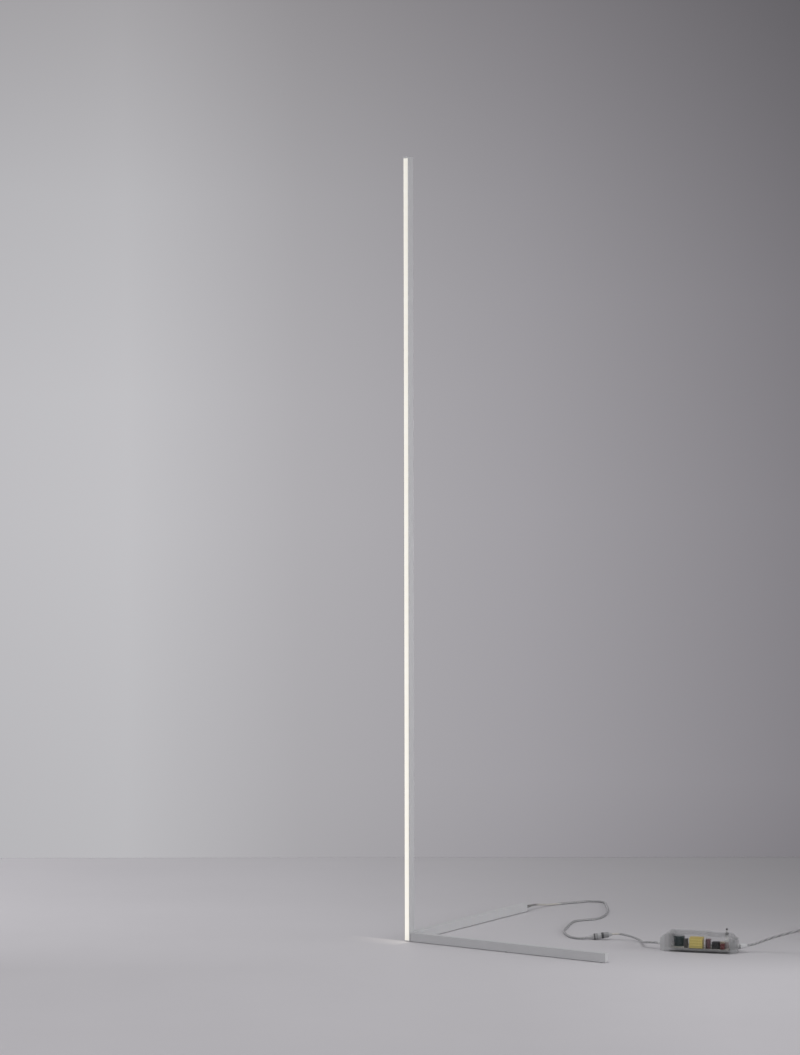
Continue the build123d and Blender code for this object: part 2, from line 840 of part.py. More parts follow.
# Space inside the cover, with the screw posts left standing in it
with BuildPart() as cover_space:
    with BuildSketch(driver_plane.offset(parting_height)):
        add(inner_plan.sketch)
    extrude(amount=raised_height - parting_height)
    with BuildSketch(driver_side):
        add(inner_side.sketch)
    extrude(amount=case_width, both=True, mode=Mode.INTERSECT)

with BuildPart() as driver_case_cover:
    with BuildSketch(driver_plane.offset(parting_height)):
        add(outer_plan.sketch)
    extrude(amount=raised_height - parting_height)
    with BuildSketch(driver_side):
        add(outer_side.sketch)
    extrude(amount=case_width, both=True, mode=Mode.INTERSECT)
    add(cover_space.part, mode=Mode.SUBTRACT)
    with BuildSketch(driver_plane.offset(parting_height)):
        with Locations(*post_spots):
            Circle(case_screw_diameter / 2 + thread_gap)
    extrude(amount=case_screw_grip + fit_gap, mode=Mode.SUBTRACT)
    with BuildSketch(driver_plane.offset(shelf_height)):
        with Locations(switch_place):
            Circle(bush_radius + hole_gap)
    extrude(amount=-case_wall, mode=Mode.SUBTRACT)
    with BuildSketch(boot_across.offset(-case_half)):
        Circle(boot_neck_radius + fit_gap)
    extrude(amount=case_wall, mode=Mode.SUBTRACT)
    with BuildSketch(boot_across.offset(case_half)):
        Circle(boot_neck_radius + fit_gap)
    extrude(amount=-case_wall, mode=Mode.SUBTRACT)
driver_case_cover.part.label = "driver_case_cover"
export_step(driver_case_cover.part, "parts/driver_case_cover.step")

# Case screws, put in from below
with BuildPart() as driver_case_screws:
    with BuildSketch(driver_plane.offset(case_screw_recess)):
        with Locations(*post_spots):
            Circle(case_screw_diameter / 2)
    extrude(amount=parting_height + case_screw_grip - case_screw_recess)
    with BuildSketch(driver_plane.offset(case_screw_recess)):
        with Locations(*post_spots):
            Circle(case_screw_head / 2)
    extrude(amount=-case_screw_head_height)
    with BuildSketch(driver_plane.offset(case_screw_recess - case_screw_head_height)):
        with Locations(*post_spots):
            RegularPolygon(case_hex_radius, 6)
    extrude(amount=case_hex_depth, mode=Mode.SUBTRACT)
driver_case_screws.part.label = "driver_case_screws"
export_step(driver_case_screws.part, "parts/driver_case_screws.step")

# Boots that hold the cords in the case's ends, split by the parting line
wall_inside = case_half - case_wall
with BuildPart() as driver_entry_boot:
    with BuildSketch(boot_side):
        with BuildLine():
            Polyline(
                (boot_flange - wall_inside, 0),
                (boot_flange - wall_inside, boot_flange_radius),
                (-wall_inside, boot_flange_radius),
                (-wall_inside, boot_neck_radius),
                (-case_half, boot_neck_radius),
                (-case_half, entry_boot_radius),
                (-case_half - entry_boot_length, connector_tip_radius),
                (-case_half - entry_boot_length, 0),
                close=True,
            )
        make_face()
    revolve(axis=boot_axis)
driver_entry_boot.part.label = "driver_entry_boot"
export_step(driver_entry_boot.part, "parts/driver_entry_boot.step")

exit_heading = radians(driver_heading + exit_boot_yaw)
exit_rise = radians(exit_boot_rise)
exit_way = Vector(
    cos(exit_heading) * cos(exit_rise), sin(exit_heading) * cos(exit_rise), sin(exit_rise)
)
exit_root = boot_height + driver_way * (case_half + exit_boot_collar)
exit_plane = Plane(origin=exit_root, x_dir=driver_front, z_dir=exit_way)
with BuildPart() as driver_exit_boot:
    with BuildSketch(boot_side):
        with BuildLine():
            Polyline(
                (wall_inside - boot_flange, 0),
                (wall_inside - boot_flange, boot_flange_radius),
                (wall_inside, boot_flange_radius),
                (wall_inside, boot_neck_radius),
                (case_half, boot_neck_radius),
                (case_half, exit_boot_radius),
                (case_half + exit_boot_collar, exit_boot_radius),
                (case_half + exit_boot_collar, 0),
                close=True,
            )
        make_face()
    revolve(axis=boot_axis)
    with BuildSketch(exit_plane):
        Circle(exit_boot_radius)
    with BuildSketch(exit_plane.offset(exit_boot_length)):
        Circle(exit_boot_tip_radius)
    loft()
driver_exit_boot.part.label = "driver_exit_boot"
export_step(driver_exit_boot.part, "parts/driver_exit_boot.step")

# Circuit board on the base's rests
parts_level = board_height + board_plate
with BuildPart() as driver_circuit_board:
    with BuildSketch(driver_plane.offset(board_height)):
        Rectangle(board_length, board_span)
    extrude(amount=board_plate)
driver_circuit_board.part.label = "driver_circuit_board"
export_step(driver_circuit_board.part, "parts/driver_circuit_board.step")

# Bulk capacitor, a standing can
with BuildPart() as bulk_capacitor:
    with BuildSketch(driver_plane.offset(parts_level)):
        with Locations(capacitor_place):
            Circle(capacitor_diameter / 2)
    extrude(amount=capacitor_height)
    fillet(bulk_capacitor.faces().sort_by(Axis.Z)[-1].edges(), radius=edge_round)
bulk_capacitor.part.label = "bulk_capacitor"
export_step(bulk_capacitor.part, "parts/bulk_capacitor.step")

# Transformer: bobbin base, taped winding, and a core let into the winding's back
winding_level = parts_level + bobbin_base_height
winding_back = winding_place[1] + winding_width / 2
core_place = (winding_place[0], winding_back - core_leg_depth / 2)
core_plate_place = (winding_place[0], winding_back + core_plate / 2)
core_middle = winding_level + winding_height / 2
with BuildPart() as transformer_base:
    with BuildSketch(driver_plane.offset(parts_level)):
        with Locations(winding_place):
            Rectangle(winding_length, winding_width)
    extrude(amount=bobbin_base_height)
transformer_base.part.label = "transformer_base"
export_step(transformer_base.part, "parts/transformer_base.step")

with BuildPart() as transformer_winding:
    with BuildSketch(driver_plane.offset(winding_level)) as winding_plan:
        with Locations(winding_place):
            RectangleRounded(winding_length, winding_width, 2 * edge_round)
    extrude(amount=winding_height)
    with BuildSketch(driver_plane.offset(core_middle - core_leg_height / 2 - fit_gap)):
        with Locations(core_place):
            Rectangle(core_leg_width + 2 * fit_gap, core_leg_depth + 2 * fit_gap)
    extrude(amount=core_leg_height + 2 * fit_gap, mode=Mode.SUBTRACT)
transformer_winding.part.label = "transformer_winding"
export_step(transformer_winding.part, "parts/transformer_winding.step")

with BuildPart() as transformer_core:
    with BuildSketch(driver_plane.offset(core_middle - core_leg_height / 2)):
        with Locations(core_place):
            Rectangle(core_leg_width, core_leg_depth)
    extrude(amount=core_leg_height)
    with BuildSketch(driver_plane.offset(core_middle - core_plate_height / 2)):
        with Locations(core_plate_place):
            Rectangle(core_plate_length, core_plate)
    extrude(amount=core_plate_height)
transformer_core.part.label = "transformer_core"
export_step(transformer_core.part, "parts/transformer_core.step")

# Insulating card beside the transformer
with BuildPart() as insulation_card:
    with BuildSketch(driver_plane.offset(parts_level)):
        with Locations(card_place):
            Rectangle(card_thickness, card_width)
    extrude(amount=card_height)
insulation_card.part.label = "insulation_card"
export_step(insulation_card.part, "parts/insulation_card.step")

# Boxed components on the board
boxed_components = (
    ("film_capacitor", film_size, film_place),
    ("switching_module", module_size, module_place),
    ("red_capacitor", red_size, red_place),
    ("fuse_block", fuse_size, fuse_place),
    ("rectifier_block", rectifier_size, rectifier_place),
)
for component, size, place in boxed_components:
    with BuildPart() as boxed_component:
        with BuildSketch(driver_plane.offset(parts_level)):
            with Locations(place):
                RectangleRounded(size[0], size[1], edge_round)
        extrude(amount=size[2])
        fillet(boxed_component.faces().sort_by(Axis.Z)[-1].edges(), radius=edge_round / 2)
    boxed_component.part.label = component
    export_step(boxed_component.part, "parts/" + component + ".step")

# Push switch: body on the board, bush through the cover
bush_top = shelf_height + bush_rise
with BuildPart() as dimmer_switch:
    with BuildSketch(driver_plane.offset(parts_level)):
        with Locations(switch_place):
            Rectangle(switch_width, switch_width)
    extrude(amount=switch_top - parts_level)
    with BuildSketch(driver_plane.offset(switch_top)):
        with Locations(switch_place):
            Circle(bush_radius)
    extrude(amount=bush_top - switch_top)
    with BuildSketch(driver_plane.offset(bush_top)):
        with Locations(switch_place):
            Circle(stem_radius + stem_gap)
    extrude(amount=-bush_bore_depth, mode=Mode.SUBTRACT)
dimmer_switch.part.label = "dimmer_switch"
export_step(dimmer_switch.part, "parts/dimmer_switch.step")

with BuildPart() as switch_nut:
    with BuildSketch(driver_plane.offset(shelf_height)):
        with Locations(switch_place):
            RegularPolygon(nut_radius, 6)
            Circle(bush_radius + fit_gap, mode=Mode.SUBTRACT)
    extrude(amount=nut_height)
switch_nut.part.label = "switch_nut"
export_step(switch_nut.part, "parts/switch_nut.step")

# Moving button: a stem in the bush and a cap on the stem
cap_bottom = bush_top + button_travel + button_stop_gap
with BuildPart() as button_stem:
    with BuildSketch(driver_plane.offset(bush_top - stem_engaged)):
        with Locations(switch_place):
            Circle(stem_radius)
    extrude(amount=stem_engaged + button_travel + button_stop_gap + cap_socket)
button_stem.part.label = "button_stem"
export_step(button_stem.part, "parts/button_stem.step")

with BuildPart() as button_cap:
    with BuildSketch(driver_plane.offset(cap_bottom)):
        with Locations(switch_place):
            Circle(cap_radius)
    extrude(amount=cap_height)
    fillet(button_cap.faces().sort_by(Axis.Z)[-1].edges(), radius=edge_round)
    with BuildSketch(driver_plane.offset(cap_bottom)):
        with Locations(switch_place):
            Circle(stem_radius + thread_gap)
    extrude(amount=cap_socket, mode=Mode.SUBTRACT)
button_cap.part.label = "button_cap"
export_step(button_cap.part, "parts/button_cap.step")


# Radius of each corner of a cord's route, as large as its two runs allow
def corner_radii(points):
    spots = [Vector(*point) for point in points]
    radii = []
    for before, corner, after in zip(spots, spots[1:], spots[2:]):
        run_in = corner - before
        run_out = after - corner
        half_turn = radians(run_in.get_angle(run_out)) / 2
        radii.append(0.45 * min(run_in.length, run_out.length) / tan(half_turn))
    return radii


# A point as a plain tuple
def spot(vector):
    return (vector.X, vector.Y, vector.Z)


# Leads inside the driver: from the lamp's cord to the board, and from the mains cord to the switch
boot_inside = wall_inside - boot_flange
switch_right = switch_place[0] + switch_width / 2
switch_lead_level = switch_top - switch_lead_drop
output_lead_route = [
    (-boot_inside, parting_height),
    (6 - boot_inside, parting_height),
    (14 - boot_inside, parting_height + 3),
    (19.5 - boot_inside, parting_height + 1.5),
    (21.5 - boot_inside, parts_level + 3.9),
    (21.5 - boot_inside, parts_level),
]
switch_lead_route = [
    (boot_inside, parting_height),
    (boot_inside - 4.5, parting_height),
    (boot_inside - 8, parting_height + 3.5),
    (switch_right + 6.5, switch_lead_level - 3),
    (switch_right + 3.5, switch_lead_level),
    (switch_right, switch_lead_level),
]
for leads, route in (("output_leads", output_lead_route), ("switch_leads", switch_lead_route)):
    with BuildPart() as inner_leads:
        for lead_side in (-lead_pitch / 2, lead_pitch / 2):
            lead_points = [
                spot(driver_centre + driver_way * u - driver_front * lead_side + Vector(0, 0, z))
                for u, z in route
            ]
            with BuildLine() as lead_line:
                FilletPolyline(*lead_points, radius=corner_radii(lead_points))
            with BuildSketch(Plane(origin=lead_line.line @ 0, z_dir=lead_line.line % 0)):
                Circle(lead_diameter / 2)
            sweep(path=lead_line.line)
    inner_leads.part.label = leads
    export_step(inner_leads.part, "parts/" + leads + ".step")


# Coil of the mains cord: stations a quarter turn apart, in on the lower layer and out on the upper
mains_radius = mains_cord_diameter / 2
coil_half_quarters = 4 * coil_turns + 1
coil_quarters = 2 * coil_half_quarters
coil_outer_radius = coil_mid_radius + coil_pitch * coil_half_quarters / 8
coil_low = coil_lift + mains_radius
coil_centre = Vector(*from_tip(*coil_place, 0))


# Place and direction of the coil's line at a station
def coil_station(k):
    turn = pi - k * pi / 2
    inward = coil_half_quarters - abs(k - coil_half_quarters)
    radius = coil_outer_radius - coil_pitch * inward / 4
    shrink = 0
    if 0 < k < coil_half_quarters:
        shrink = coil_pitch / 4
    if coil_half_quarters < k < coil_quarters:
        shrink = -coil_pitch / 4
    climb = k - coil_half_quarters
    height = coil_low + coil_layer * (min(max(climb, -1), 1) + 1) / 2
    rise = coil_layer if climb == 0 else 0
    outward = Vector(cos(turn), sin(turn), 0)
    around = Vector(sin(turn), -cos(turn), 0)
    place = coil_centre + Vector(0, 0, height) + outward * radius
    direction = around * (radius * pi / 2) - outward * shrink + Vector(0, 0, rise)
    return place, direction.normalized()


# Point where two arcs that join two stations meet
def meeting_point(start, start_way, end, end_way):
    gap = end - start
    ways = start_way + end_way
    spread = 2 * (1 - start_way.dot(end_way))
    reach = gap.dot(ways)
    length = (sqrt(reach * reach + spread * gap.dot(gap)) - reach) / spread
    return (start + end + (start_way - end_way) * length) * 0.5


stations = [coil_station(k) for k in range(coil_quarters + 1)]
coil_start = stations[0][0] - stations[0][1] * mains_cord_diameter
coil_end = stations[-1][0] + stations[-1][1] * mains_cord_diameter
with BuildPart() as mains_coil:
    with BuildLine() as coil_route:
        Line(coil_start, stations[0][0])
        for (start, start_way), (end, end_way) in zip(stations, stations[1:]):
            middle = meeting_point(start, start_way, end, end_way)
            TangentArc(start, middle, tangent=start_way)
            TangentArc(end, middle, tangent=end_way * -1)
        Line(stations[-1][0], coil_end)
    coil_line = coil_route.wires()[0]
    with BuildSketch(Plane(origin=coil_start, z_dir=stations[0][1])):
        Circle(mains_radius)
    sweep(path=coil_line)
mains_coil.part.label = "mains_coil"
export_step(mains_coil.part, "parts/mains_coil.step")

# Least gap between the coil's turns, measured on points along its line
samples = 40 * coil_quarters
coil_points = [coil_line @ (i / samples) for i in range(samples + 1)]
skip = 40
least = min(
    (coil_points[i] - coil_points[j]).length
    for i in range(len(coil_points))
    for j in range(i + skip, len(coil_points))
)
print(f"mains_coil least gap to itself {least - mains_cord_diameter:.2f} mm")
coil_share = mains_coil.part.volume / (pi * mains_radius**2 * coil_line.length)
print(f"mains_coil length {coil_line.length:.0f} mm, volume over section times length {coil_share:.4f}")

# Tie round the coil's bundle, on its -Y side, where the two layers lie one over the other
bundle_out = coil_outer_radius - 3 * coil_pitch / 4 + mains_radius
bundle_in = bundle_out - (coil_turns - 1) * coil_pitch - mains_cord_diameter
bundle_low = coil_lift
bundle_high = coil_lift + coil_layer + mains_cord_diameter
tie_low = tie_foot_gap + tie_band
tie_high = bundle_high + tie_top_gap
tie_inner_width = bundle_out - bundle_in + 2 * tie_side_gap
tie_middle = coil_centre.Y - (bundle_out + bundle_in) / 2
tie_plane = Plane(origin=(coil_centre.X, tie_middle, 0), x_dir=(0, 1, 0), z_dir=(1, 0, 0))
with BuildPart() as cord_tie:
    with BuildSketch(tie_plane):
        with Locations((0, (tie_low + tie_high) / 2)):
            RectangleRounded(
                tie_inner_width + 2 * tie_band, tie_high - tie_low + 2 * tie_band, tie_corner
            )
            RectangleRounded(
                tie_inner_width, tie_high - tie_low, tie_corner - tie_band, mode=Mode.SUBTRACT
            )
        with Locations((0, tie_high + tie_band)):
            Rectangle(tie_head[0], tie_head[1], align=(Align.CENTER, Align.MIN))
    extrude(amount=tie_width / 2, both=True)
cord_tie.part.label = "cord_tie"
export_step(cord_tie.part, "parts/cord_tie.step")

# Mains plug lying on its flat side, pins towards -Y
plug_level = plug_thickness / 2 + tie_foot_gap
plug_tip = Vector(*from_tip(*plug_place, plug_level))
plug_plane = Plane(origin=plug_tip, x_dir=(0, -1, 0), z_dir=(0, 0, 1))
plug_across = Plane(origin=plug_tip, x_dir=(1, 0, 0), z_dir=(0, -1, 0))
plug_face = plug_boot_length + plug_length
with BuildPart() as mains_plug:
    plug_waist = plug_boot_length + plug_neck_length
    plug_full = plug_waist + plug_shoulder_length
    with BuildSketch(plug_plane.offset(-plug_thickness / 2)):
        with BuildLine():
            Polyline(
                (plug_boot_length, -plug_neck_width / 2),
                (plug_waist, -plug_neck_width / 2),
                (plug_full, -plug_width / 2),
                (plug_face, -plug_width / 2),
                (plug_face, plug_width / 2),
                (plug_full, plug_width / 2),
                (plug_waist, plug_neck_width / 2),
                (plug_boot_length, plug_neck_width / 2),
                close=True,
            )
        make_face()
    extrude(amount=plug_thickness)
    fillet(mains_plug.edges().filter_by(Axis.Z), radius=plug_round)
    plug_rims = mains_plug.faces().sort_by(Axis.Z)
    fillet(plug_rims[0].edges() + plug_rims[-1].edges(), radius=plug_round)
    with BuildSketch(plug_plane):
        with BuildLine():
            Polyline(
                (0, 0),
                (0, plug_boot_tip_radius),
                (plug_boot_length + plug_round, plug_boot_radius),
                (plug_boot_length + plug_round, 0),
                close=True,
            )
        make_face()
    revolve(axis=Axis(plug_tip, (0, -1, 0)))
    with BuildSketch(plug_across.offset(plug_face)):
        with Locations((-pin_spacing / 2, 0), (pin_spacing / 2, 0)):
            Circle(pin_shank_radius + thread_gap)
    extrude(amount=-pin_seat, mode=Mode.SUBTRACT)
mains_plug.part.label = "mains_plug"
export_step(mains_plug.part, "parts/mains_plug.step")

with BuildPart() as plug_pins:
    pin_spots = [(-pin_spacing / 2, 0), (pin_spacing / 2, 0)]
    with BuildSketch(plug_across.offset(plug_face)):
        with Locations(*pin_spots):
            Circle(pin_radius)
    extrude(amount=pin_length)
    pin_tips = plug_pins.faces().sort_by(Axis.Y)[:2]
    fillet(pin_tips.edges(), radius=edge_round)
    with BuildSketch(plug_across.offset(plug_face)):
        with Locations(*pin_spots):
            Circle(pin_shank_radius)
    extrude(amount=-(pin_seat - fit_gap))
plug_pins.part.label = "plug_pins"
export_step(plug_pins.part, "parts/plug_pins.step")

# Free stretches of cord, from piece to piece: the points between are chosen by hand
connector_left = connector_centre - connector_way * connector_half
connector_right = connector_centre + connector_way * connector_half
boot_entry = boot_height - driver_way * (case_half + entry_boot_length)
boot_exit = exit_root + exit_way * exit_boot_length
lamp_low = lamp_cord_diameter / 2 + floor_gap
lamp_cord_points = [
    from_tip(0, 0, foot_mid),
    from_tip(0, 16, foot_mid),
    from_tip(1, 43, 8.6),
    from_tip(4, 75, 4),
    from_tip(12, 107, lamp_low),
    from_tip(27, 137, lamp_low),
    from_tip(44, 166, lamp_low),
    from_tip(54.5, 190, lamp_low),
    from_tip(70.5, 202.2, lamp_low),
    from_tip(90, 203, lamp_low),
    from_tip(107.5, 192, lamp_low),
    from_tip(128.5, 156.5, lamp_low),
    from_tip(162, 107, lamp_low),
    from_tip(190, 52, lamp_low),
    from_tip(209, -2, lamp_low),
    from_tip(213, -44, lamp_low),
    from_tip(195, -72, lamp_low),
    from_tip(182, -100, lamp_low),
    from_tip(196, -145, lamp_low),
    from_tip(216, -197, lamp_low),
    from_tip(234, -241, lamp_low),
    from_tip(252.5, -268, lamp_low),
    from_tip(272, -289, lamp_low),
    from_tip(294, -310, lamp_low),
    spot(connector_left - connector_way * 18),
    spot(connector_left),
]
driver_cord_points = [
    spot(connector_right),
    spot(connector_right + connector_way * 12),
    from_tip(408, -256.5, 11.4),
    from_tip(432, -258.5, 7.2),
    from_tip(454.5, -273, 5.2),
    from_tip(471.5, -296.5, 6.6),
    from_tip(487, -321.5, 10.8),
    spot(boot_entry - driver_way * 20),
    spot(boot_entry),
]
mains_cord_points = [
    spot(boot_exit),
    spot(boot_exit + exit_way * 12.5),
    from_tip(736.4, -238.7, 22.2),
    from_tip(763.6, -231.4, 33.8),
    from_tip(802.5, -226, 47.2),
    from_tip(845, -218.4, 60),
    from_tip(878, -193, 63.5),
    from_tip(887, -149, 59),
    from_tip(872, -105, 49.5),
    from_tip(842, -65, 40),
    from_tip(804, -30, 31),
    from_tip(767, 0, 22),
    from_tip(736, 25, 12.5),
    from_tip(714.5, 44, 6),
    spot(coil_start - stations[0][1] * 27.5),
    spot(coil_start),
]
mains_tail_points = [
    spot(coil_end),
    spot(coil_end + stations[-1][1] * 15.5),
    from_tip(787, 58, 8.6),
    spot(plug_tip + Vector(0, 18, 0)),
    spot(plug_tip),
]
cords = (
    ("lamp_cord", lamp_cord_points, lamp_cord_diameter),
    ("driver_cord", driver_cord_points, lamp_cord_diameter),
    ("mains_cord", mains_cord_points, mains_cord_diameter),
    ("mains_tail", mains_tail_points, mains_cord_diameter),
)
for cord_name, points, diameter in cords:
    radii = corner_radii(points)
    with BuildPart() as cord:
        with BuildLine() as cord_route:
            FilletPolyline(*points, radius=radii)
        with BuildSketch(Plane(origin=cord_route.line @ 0, z_dir=cord_route.line % 0)):
            Circle(diameter / 2)
        sweep(path=cord_route.line)
    cord.part.label = cord_name
    export_step(cord.part, "parts/" + cord_name + ".step")
    length = cord_route.wires()[0].length
    share = cord.part.volume / (pi * diameter**2 / 4 * length)
    print(f"{cord_name} length {length:.0f} mm, volume over section times length {share:.4f}")
    print(f"{cord_name} radii", [round(radius) for radius in radii])
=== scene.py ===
import math

import bpy
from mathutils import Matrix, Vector


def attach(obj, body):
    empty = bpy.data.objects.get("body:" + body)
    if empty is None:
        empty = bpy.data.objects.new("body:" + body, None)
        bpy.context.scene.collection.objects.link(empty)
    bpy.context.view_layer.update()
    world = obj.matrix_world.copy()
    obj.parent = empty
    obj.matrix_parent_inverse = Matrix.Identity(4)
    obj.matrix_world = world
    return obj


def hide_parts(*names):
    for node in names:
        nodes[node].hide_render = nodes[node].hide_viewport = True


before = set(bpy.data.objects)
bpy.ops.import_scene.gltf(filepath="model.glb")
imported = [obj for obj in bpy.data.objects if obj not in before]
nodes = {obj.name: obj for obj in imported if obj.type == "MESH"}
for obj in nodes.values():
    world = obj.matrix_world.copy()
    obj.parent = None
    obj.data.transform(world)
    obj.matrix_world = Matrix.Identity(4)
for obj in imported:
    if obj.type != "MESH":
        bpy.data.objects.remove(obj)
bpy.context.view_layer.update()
scene = bpy.context.scene
scene.view_settings.view_transform = "Standard"


def heading(turn, rise=0):
    """Unit vector at a turn from +X and a rise from the floor, both in degrees."""
    turn, rise = math.radians(turn), math.radians(rise)
    return Vector((math.cos(turn) * math.cos(rise), math.sin(turn) * math.cos(rise), math.sin(rise)))


def mm(x, y, z):
    return Vector((x / 1000, y / 1000, z / 1000))


# Places shared with the solids, in metres, from the origin on the floor under the column
ORIGIN = Vector((0, 0, 0))
ALONG_X = Vector((1, 0, 0))
ALONG_Y = Vector((0, 1, 0))
UP = Vector((0, 0, 1))
TIP = Vector((0, 0.543, 0.011))
STRIP_START = Vector((0, 0, 0.039))
STRIP_LENGTH = 1.76
CHIP_PITCH = 0.025
LINK = Vector((0.3576, 0.2551, 0.009))
LINK_HALF = 0.0275
LINK_WAY = heading(32, 8)
LINK_LEFT = LINK - LINK_WAY * LINK_HALF
LINK_RIGHT = LINK + LINK_WAY * LINK_HALF
BOX = Vector((0.6151, 0.2481, 0))
BOX_TURN = 17.4
BOX_WAY = heading(BOX_TURN)
BOX_CORD_LEVEL = UP * 0.014
BOX_ENTRY = BOX + BOX_CORD_LEVEL - BOX_WAY * 0.094
EXIT_WAY = heading(BOX_TURN + 28, 4)
EXIT_BOOT_LENGTH = 0.017
BOX_EXIT = BOX + BOX_CORD_LEVEL + BOX_WAY * 0.0906 + EXIT_WAY * EXIT_BOOT_LENGTH
CAN_TOP = Vector((0, 0, 0.0302))
WINDING_START = Vector((0, 0, 0.0086))
COIL = Vector((0.743, 0.640, 0))
PLUG_TIP = Vector((0.790, 0.566, 0.00705))

# Camera, placed from the origin by its own directions; its lens is counted in pixels of the picture's height
VIEW_TURN = 33.654
RIGHT = heading(VIEW_TURN)
BACK = heading(VIEW_TURN - 90)
CAMERA_BACK = 5.640481
CAMERA_RIGHT = -0.0198
CAMERA_UP = 0.9496
CAMERA_ROLL = 0.097
FOCAL_PIXELS = 2456.746
PICTURE_HEIGHT = 1055
SENSOR = 36
camera_data = bpy.data.cameras.new("camera")
camera_data.sensor_width = SENSOR
camera_data.lens = FOCAL_PIXELS * SENSOR / PICTURE_HEIGHT
camera_data.clip_start = 0.05
camera_data.clip_end = 60
camera = bpy.data.objects.new("camera", camera_data)
camera.location = BACK * CAMERA_BACK + RIGHT * CAMERA_RIGHT + UP * CAMERA_UP
camera.rotation_euler = (math.radians(90), math.radians(CAMERA_ROLL), math.radians(VIEW_TURN))
scene.collection.objects.link(camera)
scene.camera = camera


class Nodes:
    """A node tree, and the few kinds of node that the looks here are made of."""

    def __init__(self, tree):
        self.tree = tree
        tree.nodes.clear()

    def add(self, kind):
        return self.tree.nodes.new("ShaderNode" + kind)

    def feed(self, socket, value):
        """Links a socket to another node's output, or sets its number, vector or colour."""
        if isinstance(value, bpy.types.NodeSocket):
            self.tree.links.new(value, socket)
        elif socket.type == "RGBA":
            socket.default_value = (*value, 1)
        else:
            socket.default_value = value

    def math(self, operation, first, *rest):
        """One operation on a value, or on several of them in turn."""
        for value in rest or (0.0,):
            node = self.add("Math")
            node.operation = operation
            self.feed(node.inputs[0], first)
            self.feed(node.inputs[1], value)
            first = node.outputs["Value"]
        return first

    def fade(self, value, start, stop, low=0.0, high=1.0):
        """Goes from low at start to high at stop, and stays there beyond them."""
        node = self.add("MapRange")
        self.feed(node.inputs["Value"], value)
        self.feed(node.inputs["From Min"], start)
        self.feed(node.inputs["From Max"], stop)
        self.feed(node.inputs["To Min"], low)
        self.feed(node.inputs["To Max"], high)
        return node.outputs["Result"]

    def ramp(self, value, *stops):
        """Colours along a value: each stop is a place from 0 to 1 with a colour or a grey."""
        node = self.add("ValToRGB")
        elements = node.color_ramp.elements
        while len(elements) < len(stops):
            elements.new(0.5)
        for element, (at, colour) in zip(elements, stops):
            element.position = at
            element.color = (*colour, 1) if isinstance(colour, tuple) else (colour, colour, colour, 1)
        self.feed(node.inputs["Fac"], value)
        return node.outputs["Color"]

    def mix(self, factor, first, second, mode="MIX"):
        node = self.add("Mix")
        node.data_type = "RGBA"
        node.blend_type = mode
        colour_factor, colour_first, colour_second, colour_result = 0, 6, 7, 2
        self.feed(node.inputs[colour_factor], factor)
        self.feed(node.inputs[colour_first], first)
        self.feed(node.inputs[colour_second], second)
        return node.outputs[colour_result]

    def dot(self, vector, way):
        node = self.add("VectorMath")
        node.operation = "DOT_PRODUCT"
        self.feed(node.inputs[0], vector)
        self.feed(node.inputs[1], tuple(way))
        return node.outputs["Value"]

    def coordinate(self, kind):
        return self.add("TexCoord").outputs[kind]

    def along(self, way, start=ORIGIN):
        """Distance in metres from a place along a direction, in the object's own frame."""
        return self.math("SUBTRACT", self.dot(self.coordinate("Object"), way), start.dot(way))

    def facing(self, way):
        """How far a face looks along a direction: 1 straight along it and -1 straight away."""
        return self.dot(self.add("NewGeometry").outputs["Normal"], way)

    def own(self, name):
        """A number that the object itself carries."""
        node = self.add("Attribute")
        node.attribute_type = "OBJECT"
        node.attribute_name = name
        return node.outputs["Fac"]

    def noise(self, scale, detail=3.0, stretch=(1, 1, 1)):
        mapping = self.add("Mapping")
        self.feed(mapping.inputs["Vector"], self.coordinate("Object"))
        self.feed(mapping.inputs["Scale"], stretch)
        node = self.add("TexNoise")
        self.feed(node.inputs["Vector"], mapping.outputs["Vector"])
        self.feed(node.inputs["Scale"], scale)
        self.feed(node.inputs["Detail"], detail)
        self.feed(node.inputs["Roughness"], 0.55)
        return node.outputs["Fac"]


class Look(Nodes):
    """A material around one principled shader."""

    def __init__(self, name):
        self.material = bpy.data.materials.new(name)
        self.material.use_nodes = True
        super().__init__(self.material.node_tree)
        self.shader = self.add("BsdfPrincipled")
        self.feed(self.add("OutputMaterial").inputs["Surface"], self.shader.outputs["BSDF"])

    def set(self, name, value):
        self.feed(self.shader.inputs[name], value)

    def skin(self, scale, depth, stretch=(1, 1, 1)):
        """The surface's fine unevenness, with its depth in metres."""
        node = self.add("Bump")
        self.feed(node.inputs["Strength"], 1.0)
        self.feed(node.inputs["Distance"], depth)
        self.feed(node.inputs["Height"], self.noise(scale, 2.0, stretch))
        self.set("Normal", node.outputs["Normal"])


def shade(colour, k):
    return tuple(min(1.0, c * k) for c in colour)


def plain(name, colour, rough, metal=0.0, grain=250, vary=0.05, fine=2500, depth=0.00004, stretch=(1, 1, 1),
          coat=0.0):
    """A moulded, painted or cast surface: slight mottling, uneven gloss and a fine skin."""
    gloss_vary = 0.06
    look = Look(name)
    mottle = look.noise(grain, stretch=stretch)
    look.set("Base Color", look.ramp(mottle, (0.3, shade(colour, 1 - vary)), (0.7, shade(colour, 1 + vary))))
    look.set("Roughness", look.fade(mottle, 0.25, 0.75, rough - gloss_vary, rough + gloss_vary))
    look.set("Metallic", metal)
    look.set("Coat Weight", coat)
    look.skin(fine, depth, stretch)
    return look.material


def dress(material, *names):
    for name in names:
        mesh = nodes[name].data
        mesh.materials.clear()
        mesh.materials.append(material)


